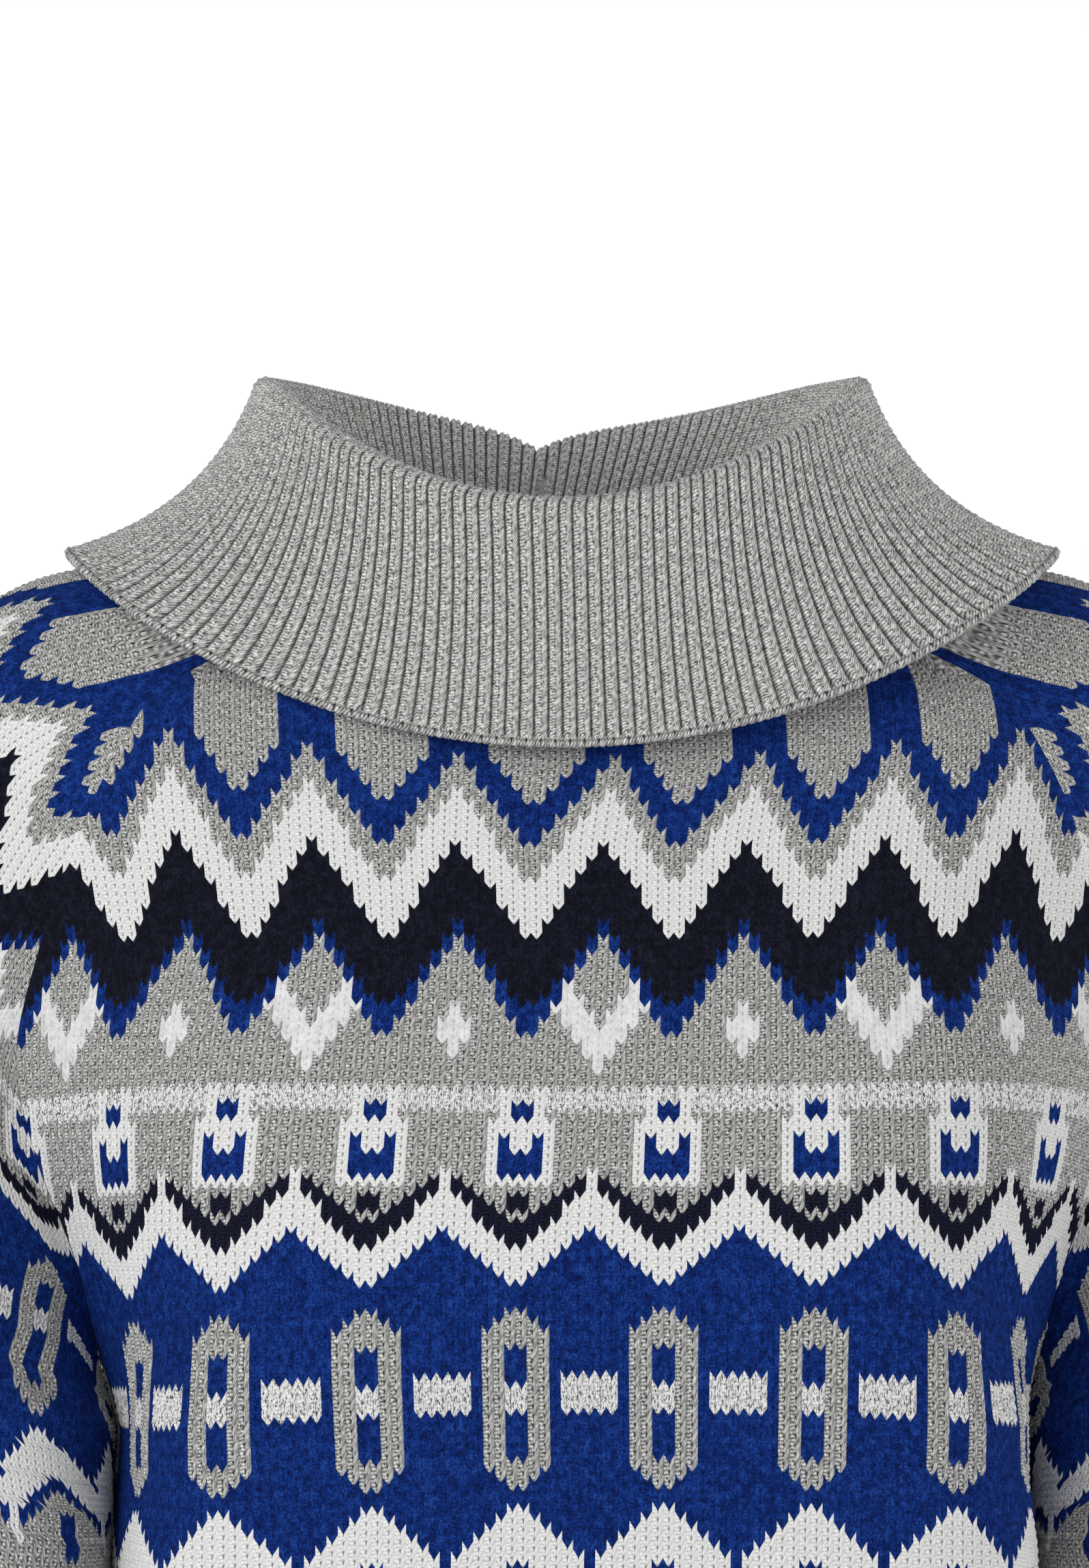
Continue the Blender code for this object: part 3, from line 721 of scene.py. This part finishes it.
yarn_material("white_felted", (0.46, 0.46, 0.46), (0.68, 0.68, 0.68), (0.84, 0.84, 0.83),
              roughness=0.95, ply=0.1, fuzz=0.4, mottle=0.5, bump=0.8, depth=0.0006, hole_shade=0.7,
              lines=1.0)
yarn_material("white_lurex", (0.56, 0.56, 0.56), (0.75, 0.75, 0.74), (0.86, 0.86, 0.85),
              roughness=0.6, hole_shade=0.35, strokes=True)
yarn_material("floats_inside", (0.02, 0.04, 0.14), (0.26, 0.27, 0.29), (0.56, 0.56, 0.55),
              roughness=0.95, fuzz=0.4, bump=0.7, hole_shade=1.0, lines=1.0)

row_at, ring_at = np.array(ROW_RINGS).T
body_rings = np.interp(TOP_ROW + np.arange(BODY_ROWS + 1), row_at, ring_at)
front_points, front_normals = cloth_grid(
    front_row_point, body_rings, seam_to_seam(BODY_PLACES, SEAM_CROWDING), -1)
front_run = run_along(front_points)
front_wales = np.empty(front_run.shape)
for row in range(BODY_ROWS + 1):
    runs = [np.interp(row + TOP_ROW, [drape.row for drape in DRAPE],
                      [drape.runs[place] for drape in DRAPE])
            for place in range(len(DRAPE_COLUMNS))]
    front_wales[row] = np.interp(front_run[row], runs, DRAPE_COLUMNS) + 0.5
front = knit("front_panel", front_points, front_normals, front_wales,
             lambda column, row: chart(column, row + TOP_ROW), KNIT_WALL)
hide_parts("front")
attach(front, "root")


# ---------------------------------------------------------------------------------------------
# Back. A second jacquard panel, knitted and steamed like the front to the same chart. It rises
# higher at the neck and is linked to the sleeves along its own two raglan seams.
BACK_MIDDLE = [
    Middle(0.0, 62, -6), Middle(0.1, 73, -20), Middle(0.2, 83, -38), Middle(0.3, 94, -68),
    Middle(0.4, 102, -99), Middle(0.5, 107, -132), Middle(0.6, 110, -166), Middle(0.7, 111, -201),
    Middle(0.8, 110, -237), Middle(0.9, 107, -273), Middle(1.0, 103, -309),
    Middle(1.25, 98, -367), Middle(1.5, 96, -425), Middle(1.75, 100, -483),
    Middle(1.9, 104, -518), Middle(2.0, 102, -540), Middle(2.25, 98, -600)]
BACK_SEAM = [
    Seam(0.0, 58, 44, 0, 45, 8, 42, 25), Seam(0.1, 93, 54, -13, 34, 8, 45, 28),
    Seam(0.2, 124, 60, -35, 26, 3, 38, 36), Seam(0.3, 146, 66, -66, 20, 0, 24, 40),
    Seam(0.4, 162, 69, -99, 18, -1, 14, 38), Seam(0.5, 173, 69, -133, 17, -2, 6, 35),
    Seam(0.6, 180, 65, -168, 18, -3, -2, 31), Seam(0.7, 183, 55, -204, 28, -3, -12, 26),
    Seam(0.8, 178, 37, -242, 46, -3, -32, 20), Seam(0.9, 168, 8, -281, 66, -2, -56, 10),
    Seam(1.0, 160, -24, -318, 90, 0, -90, 0)]
BACK_FULLNESS = 1.25


def back_point(level, across):
    first, last = FULLNESS_LEVELS
    rise = min(max((level - first) / (last - first), 0.0), 1.0)
    return body_ring(BACK_MIDDLE, BACK_SEAM, 1, level, across, 1 + (BACK_FULLNESS - 1) * rise)


back_points, back_normals = cloth_grid(
    back_point, body_rings, seam_to_seam(BODY_PLACES, SEAM_CROWDING), 1)
back_run = run_along(back_points)
back_share = (back_run - back_run[:, :1]) / (back_run[:, -1:] - back_run[:, :1])
back_wales = front_wales[:, :1] + (front_wales[:, -1:] - front_wales[:, :1]) * back_share
back = knit("back_panel", back_points, back_normals, back_wales,
            lambda column, row: chart(column, row + TOP_ROW), KNIT_WALL, turned_over=True, seed=2)
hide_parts("back")
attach(back, "root")


# ---------------------------------------------------------------------------------------------
# Sleeves. Each is one jacquard tube below the underarm and a raglan cap above it, where it is
# linked to the front and back. Its chart is counted from the shoulder line and mirrors over it.
Top = namedtuple("Top", "level x y z")
SLEEVE_TOP = [
    Top(0.0, 82, 0, 6), Top(0.1, 121, 2, -2), Top(0.2, 158, 4, -12.5), Top(0.3, 193, 5, -22),
    Top(0.4, 224, 3, -45), Top(0.5, 243, -1, -81), Top(0.6, 252, -5, -121),
    Top(0.7, 257, -11, -161), Top(0.8, 261, -16, -203), Top(0.9, 266, -20, -246),
    Top(1.0, 270.8, -24, -289.8)]
Tube = namedtuple("Tube", "level x y z radius lean")
SLEEVE_TUBE = [
    Tube(1.0, 216.1, -24, -303.9, 56.5, 14.5), Tube(1.25, 217, -32, -355, 54.5, 11),
    Tube(1.5, 221, -39, -412, 51.5, 9), Tube(1.75, 230, -44, -470, 48.5, 9),
    Tube(2.0, 240, -50, -529, 45.5, 10), Tube(2.25, 250, -57, -588, 42.5, 10.5),
    Tube(2.42, 257, -62, -628, 40.5, 11), Tube(2.5, 260, -64, -646, 37.5, 11),
    Tube(2.75, 271, -70, -705, 33.5, 11)]
UNDERARM_CLEARANCE = 0.2
CLEARANCE_FROM = 0.8
SLEEVE_ROWS = 211
SLEEVE_PLACES = 60
SLEEVE_ROW_RINGS = [pair for pair in ROW_RINGS if pair[1] < 1.01] + [
    (91.6, 1.25), (109.0, 1.5), (126.9, 1.75), (145.0, 2.0), (163.1, 2.25), (175.6, 2.42),
    (181.0, 2.5)]
SHOULDER_COLUMN = 20
# How far the rows rise over the arm on some of the rings, and over what share of the way round
ROW_RISES = ((0.4, 0.0), (0.54, 0.018), (0.66, 0.024), (0.77, 0.027), (0.875, 0.058),
             (1.0, 0.09), (1.12, 0.118), (1.25, 0.138), (1.34, 0.152), (1.6, 0.105), (2.2, 0.0))
RISE_REACH = 0.1
# Stitches from a seam to the shoulder line on some of the rows, and where they begin to decrease
SLEEVE_COUNTS = ((-30, 15), (-18, 18.5), (-8, 24), (-2, 26.5), (6, 30), (19, 32.5), (31, 36),
                 (40, 39), (53, 43.5), (65, 47), (76, 55), (84, 61), (106, 61))
FIRST_DECREASE = 106
DECREASE_EVERY = 4
CLOSENESS_LIMIT = 0.45


def sleeve_point(level, around):
    """Point of the +X sleeve, around from -1 at its front seam over the top at 0 to 1."""
    if level <= UNDERARM:
        top = follow(SLEEVE_TOP, level)
        seam = follow(FRONT_SEAM if around < 0 else BACK_SEAM, level)
        summit = Vector((top.x, top.y, top.z))
        foot = Vector((seam.x, seam.y, seam.z))
        lowness = max(0.0, (level - CLEARANCE_FROM) / (UNDERARM - CLEARANCE_FROM))
        foot.x += UNDERARM_CLEARANCE * lowness ** 2
        leave = way(seam.sleeve_turn, seam.sleeve_rise)
    else:
        tube = follow(SLEEVE_TUBE, level)
        centre = Vector((tube.x, tube.y, tube.z))
        lean = math.radians(tube.lean)
        spoke = Vector((math.cos(lean), 0, math.sin(lean))) * tube.radius
        summit = centre + spoke
        foot = centre - spoke
        leave = Vector((0, -1, 0))
    if around > 0:
        summit = mirror_y(summit)
        foot = mirror_y(foot)
    point = arc(foot, leave, summit, Vector((0, 1, 0)), 1 - abs(around))
    if around > 0:
        point = mirror_y(point)
    return to_neck(point, level)


sleeve_row_at, sleeve_ring_at = np.array(SLEEVE_ROW_RINGS).T
sleeve_rings = np.interp(TOP_ROW + np.arange(SLEEVE_ROWS + 1), sleeve_row_at, sleeve_ring_at)
rise_ring, rise_amount = np.array(ROW_RISES).T
around_places = np.linspace(-1, 1, SLEEVE_PLACES + 1)


def sleeve_row_point(ring, around):
    """Point of a row of knitting, which rises over the arm away from the seams."""
    reach = min((1 - abs(around)) / RISE_REACH, 1.0)
    lift = float(np.interp(ring, rise_ring, rise_amount))
    return sleeve_point(max(ring - lift * reach * reach * (3 - 2 * reach), 0.0), around)


sleeve_points, sleeve_normals = cloth_grid(sleeve_row_point, sleeve_rings, around_places, -1)
sleeve_run = run_along(sleeve_points)
count_row, count_at = np.array(SLEEVE_COUNTS).T
sleeve_counts = np.interp(TOP_ROW + np.arange(SLEEVE_ROWS + 1), count_row, count_at)
sleeve_counts[FIRST_DECREASE:] -= (np.arange(SLEEVE_ROWS + 1 - FIRST_DECREASE)
                                   / DECREASE_EVERY).astype(int)
top_place = SLEEVE_PLACES // 2
sleeve_wales = np.empty(sleeve_run.shape)
for row in range(SLEEVE_ROWS + 1):
    for part, edge, sign in ((slice(0, top_place + 1), 0, -1), (slice(top_place, None), -1, 1)):
        half = abs(sleeve_run[row, edge])
        count = sleeve_counts[row]
        in_from_seam = half - np.abs(sleeve_run[row, part])
        limit = CLOSENESS_LIMIT / (WALE * half)
        closer = min(max((count - half / WALE) / half ** 2, -limit), limit)
        even = (count - closer * half ** 2) / half
        sleeve_wales[row, part] = sign * (
            count - even * in_from_seam - closer * in_from_seam ** 2)
for side, mirror in (("left", 1), ("right", -1)):
    places = sleeve_points * np.array((mirror, 1, 1))
    facing = sleeve_normals * np.array((mirror, 1, 1))
    sleeve = knit(f"sleeve_{side}_panel", places, facing, sleeve_wales,
                  lambda column, row: chart(
                      SHOULDER_COLUMN + (column if column >= 0 else -column - 1), row + TOP_ROW),
                  KNIT_WALL, turned_over=mirror < 0, seed=3 + mirror)
    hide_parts("sleeve_" + side)
    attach(sleeve, "root")


# ---------------------------------------------------------------------------------------------
# Collar. One wide tube of rib in the grey yarn, linked to the neck, that stands up inside, rolls
# over and falls wide over the shoulders. Its ends are linked at the middle of the back, and its
# free edge is bound off in a chain of small plump loops.
ROLL = Curve(105, 93, 78, 48, 44, 1.85, 15.5, 3.3)
FALL_BEND = Curve(127, 106, 94, 5, 46, 1.8, 20, 2)
FALL_EDGE = Curve(175, 116, 121, -8, 68.5, 1.75, 46, 2)
ROLL_RADIUS = 4.8
COLLAR_TURN = -6
RIB_CROWDING = 0.17
# The seam at the middle of the back: a dip in the roll, and a ridge with a crease beside it, two
# half widths off
BACK_SEAM_X = -8.7
BACK_DIP = 8.5
BACK_DIP_REACH = 14
BACK_RIDGE = 2.6
RIDGE_HALF_WIDTH = 2.4
RIDGE_RUN_OUT = 0.2
COLLAR_RIBS = 144
RIB_WALL = 3.2
RIB_SHAPE = dict(crown=0.55, ridge=0.15, foot=0.15, groove=1.1, slant=0.8)
STAND_ROWS, ROLL_ROWS, FALL_ROWS = 17, 6, 30
SEAM_GAP = 0.3


def turned(vector, degrees):
    """The vector turned about +Z."""
    c = math.cos(math.radians(degrees))
    s = math.sin(math.radians(degrees))
    return Vector((vector.x * c - vector.y * s, vector.x * s + vector.y * c, vector.z))


def collar_line(angle, stops):
    """Points of one wale of the collar: up the inside of the stand to stop 1, over the roll to 2,
    and down the outside of the fall to 3."""
    neck = curve_point(NECK, angle) + Vector((0, 0, SEAM_GAP))
    roll = curve_point(ROLL, angle)
    ridge = 0.0
    if math.cos(angle) < 0:
        off_seam = roll.x - BACK_SEAM_X
        roll.z -= BACK_DIP * math.exp(-abs(off_seam) / BACK_DIP_REACH)
        ridge = BACK_RIDGE * (math.exp(-(off_seam / RIDGE_HALF_WIDTH) ** 2)
                              - math.exp(-(off_seam / RIDGE_HALF_WIDTH - 2) ** 2))
    roll = turned(roll, COLLAR_TURN)
    bend = turned(curve_point(FALL_BEND, angle, RIB_CROWDING / 2), COLLAR_TURN)
    edge = turned(curve_point(FALL_EDGE, angle, RIB_CROWDING), COLLAR_TURN)
    out = bend - neck
    out.z = 0
    out = out.normalized() * ROLL_RADIUS
    up = Vector((0, 0, ROLL_RADIUS))
    line = []
    for stop in stops:
        if stop <= 1:
            fade = min(1.0, stop / RIDGE_RUN_OUT, (1 - stop) / RIDGE_RUN_OUT)
            line.append(neck.lerp(roll - out, stop) - out * (ridge / ROLL_RADIUS * fade))
        elif stop <= 2:
            swing = math.pi * (stop - 1)
            line.append(roll - out * math.cos(swing) + up * math.sin(swing))
        else:
            share = stop - 2
            line.append((roll + out) * (1 - share) ** 2 + bend * 2 * share * (1 - share)
                        + edge * share ** 2)
    return line


collar_stops = ([row / STAND_ROWS for row in range(STAND_ROWS)]
                + [1 + row / ROLL_ROWS for row in range(ROLL_ROWS)]
                + [2 + row / FALL_ROWS for row in range(FALL_ROWS + 1)])
rib_quarters = np.arange(4 * COLLAR_RIBS + 1) / 4
collar_points = np.array([collar_line(2 * math.pi * place / COLLAR_RIBS, collar_stops)
                          for place in rib_quarters]).transpose(1, 0, 2)
around_ways = np.roll(collar_points[:, :-1], -1, 1) - np.roll(collar_points[:, :-1], 1, 1)
around_ways = np.concatenate((around_ways, around_ways[:, :1]), axis=1)
collar_normals = np.cross(np.gradient(collar_points, axis=0), around_ways)
collar_normals /= np.linalg.norm(collar_normals, axis=-1, keepdims=True)
collar = knit("ribbed_collar", collar_points, collar_normals,
              np.repeat(rib_quarters[None], len(collar_stops), axis=0),
              lambda column, row: GREY, RIB_WALL, **RIB_SHAPE, closed=True, inner_rows=4,
              inner_places=8, yarns=("grey_rib",), seed=5)
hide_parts("collar")
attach(collar, "root")

# The chain along the free edge: a tube with two lumps to a rib, sunk into the middle of the wall
LUMPS_PER_RIB = 2
STEPS_PER_RIB = 8
EDGE_STEPS = STEPS_PER_RIB * COLLAR_RIBS
EDGE_SIDES = 6
EDGE_RADIUS = 1.7
EDGE_LUMP = 0.4
EDGE_THICKNESS = 1.1
EDGE_SINK = 0.45
along = np.arange(EDGE_STEPS) * 4 / STEPS_PER_RIB
edge_line = [np.stack([np.interp(along, np.arange(len(rib_quarters)), values[:, axis])
                       for axis in range(3)], axis=1)
             for values in (collar_points[-1], collar_points[-2], collar_normals[-1])]
edge_down = edge_line[0] - edge_line[1]
edge_down /= np.linalg.norm(edge_down, axis=1, keepdims=True)
edge_radius = EDGE_RADIUS + EDGE_LUMP * np.abs(np.sin(along * math.pi * LUMPS_PER_RIB / 4))
edge_middle = edge_line[0] - edge_line[2] * RIB_WALL * EDGE_SINK
edge_corners = []
for side in range(EDGE_SIDES):
    turn = 2 * math.pi * side / EDGE_SIDES
    edge_corners.append(edge_middle + edge_radius[:, None] * (
        edge_line[2] * math.cos(turn) * EDGE_THICKNESS + edge_down * math.sin(turn)))
edge_corners = np.stack(edge_corners, axis=1).reshape(-1, 3)
step, side = np.meshgrid(np.arange(EDGE_STEPS), np.arange(EDGE_SIDES), indexing="ij")
after, above = (step + 1) % EDGE_STEPS, (side + 1) % EDGE_SIDES
edge_faces = np.stack([a * EDGE_SIDES + b for a, b in (
    (step, side), (step, above), (after, above), (after, side))], axis=-1).reshape(-1, 4)
edge_mesh = bpy.data.meshes.new("collar_bound_edge")
edge_mesh.from_pydata((edge_corners * MM).tolist(), [], edge_faces.tolist())
edge_uv = np.stack([np.stack((a, b), axis=-1) for a, b in (
    (step / 4, side / 3), (step / 4, (side + 1) / 3), ((step + 1) / 4, (side + 1) / 3),
    ((step + 1) / 4, side / 3))], axis=2)
edge_mesh.uv_layers.new(name="strand").data.foreach_set("uv", edge_uv.reshape(-1))
edge_mesh.polygons.foreach_set("use_smooth", np.ones(len(edge_mesh.polygons), bool))
edge_mesh.materials.append(bpy.data.materials["grey_mouline"])
edge_mesh.update()
bound_edge = bpy.data.objects.new("collar_bound_edge", edge_mesh)
bpy.context.collection.objects.link(bound_edge)
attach(bound_edge, "root")


# ---------------------------------------------------------------------------------------------
# Hem ribs. The front and back each end in a band of the collar's rib in the grey yarn, knitted on
# in one with the panel. The two bands meet at the side seams and stay open below.
HEM_EDGE = 2.25
HEM_RIBS = 56
RIB_ROWS = 20
for name, point_of, facing, node, slot in (
        ("hem_rib_front_band", front_point, -1, "hem_rib_front", "front_hem_rib"),
        ("hem_rib_back_band", back_point, 1, "hem_rib_back", "back_hem_rib")):
    rib_rings = np.linspace(HEM_RIB, HEM_EDGE, RIB_ROWS + 1)
    rib_points, rib_normals = cloth_grid(point_of, rib_rings, seam_to_seam(2 * HEM_RIBS, 0),
                                         facing)
    rib_wales = np.repeat(np.arange(2 * HEM_RIBS + 1)[None] / 2, RIB_ROWS + 1, axis=0)
    hem = knit(name, rib_points, rib_normals, rib_wales, lambda column, row: GREY, RIB_WALL,
               **RIB_SHAPE, turned_over=facing > 0, inner_rows=5, inner_places=4,
               yarns=("grey_rib",), seed=6)
    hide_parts(node)
    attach(hem, "root")


# ---------------------------------------------------------------------------------------------
# Cuffs. Each sleeve is gathered in to a snug band of the same grey rib, knitted on in one with
# the sleeve. It is a single layer with an open end and no fold.
CUFF_RIB = 2.5
CUFF_EDGE = 2.75
CUFF_RIBS = 44
for side, mirror in (("left", 1), ("right", -1)):
    rib_rings = np.linspace(CUFF_RIB, CUFF_EDGE, RIB_ROWS + 1)
    rib_points, rib_normals = cloth_grid(sleeve_point, rib_rings, seam_to_seam(2 * CUFF_RIBS, 0),
                                         -1)
    rib_wales = np.repeat(np.arange(2 * CUFF_RIBS + 1)[None] / 2, RIB_ROWS + 1, axis=0)
    cuff = knit(f"cuff_{side}_band", rib_points * np.array((mirror, 1, 1)),
                rib_normals * np.array((mirror, 1, 1)), rib_wales, lambda column, row: GREY,
                RIB_WALL, **RIB_SHAPE, turned_over=mirror < 0, inner_rows=5, inner_places=4,
                yarns=("grey_rib",), seed=8 + mirror)
    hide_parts("cuff_" + side)
    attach(cuff, "root")


# ---------------------------------------------------------------------------------------------
# Studio. A pale floor, a white surround, a broad key light from the left and a fill from the
# right, and the camera level with the chest, a little to the sweater's right.
bpy.ops.object.select_all(action="DESELECT")
bpy.ops.mesh.primitive_plane_add(size=12, location=(0, 0, -0.85))
floor = bpy.context.object
floor.name = "studio_floor"
paper = bpy.data.materials.new("floor_paper")
paper.use_nodes = True
matt = paper.node_tree.nodes["Principled BSDF"]
matt.inputs["Base Color"].default_value = (0.8, 0.8, 0.8, 1)
matt.inputs["Roughness"].default_value = 0.9
floor.data.materials.append(paper)

world = bpy.data.worlds.new("studio_surround")
bpy.context.scene.world = world
world.use_nodes = True
surround = world.node_tree
heavens = surround.nodes.new("ShaderNodeTexCoord")
height = surround.nodes.new("ShaderNodeSeparateXYZ")
dimmed = surround.nodes.new("ShaderNodeValToRGB")
for element, (position, tone) in zip(dimmed.color_ramp.elements, ((0.25, 1.0), (0.75, 0.35))):
    element.position = position
    element.color = (tone, tone, tone, 1)
surround.links.new(heavens.outputs["Generated"], height.inputs["Vector"])
surround.links.new(height.outputs["Z"], dimmed.inputs["Fac"])
surround.links.new(dimmed.outputs["Color"], surround.nodes["Background"].inputs["Color"])
surround.nodes["Background"].inputs["Strength"].default_value = 0.8
bpy.context.scene.view_settings.view_transform = "Standard"
bpy.context.scene.view_settings.exposure = 0.33
for name, place, size, power in (("key_light", (-2.8, -2.6, 0.5), 1.8, 46),
                                 ("fill_light", (2.7, -2.7, 0.4), 2.0, 24)):
    lamp = bpy.data.lights.new(name, "AREA")
    lamp.size = size
    lamp.energy = power
    light = bpy.data.objects.new(name, lamp)
    light.location = place
    aim = Vector((0, 0, -0.15)) - Vector(place)
    light.rotation_euler = aim.to_track_quat("-Z", "Y").to_euler()
    bpy.context.collection.objects.link(light)

lens = bpy.data.cameras.new("studio_camera")
lens.lens = 333.3
lens.sensor_width = 36
camera = bpy.data.objects.new("studio_camera", lens)
camera.location = (-0.5446, -5.1211, -0.0914)
camera.rotation_euler = (math.radians(90), 0, math.radians(-6))
bpy.context.collection.objects.link(camera)
bpy.context.scene.camera = camera
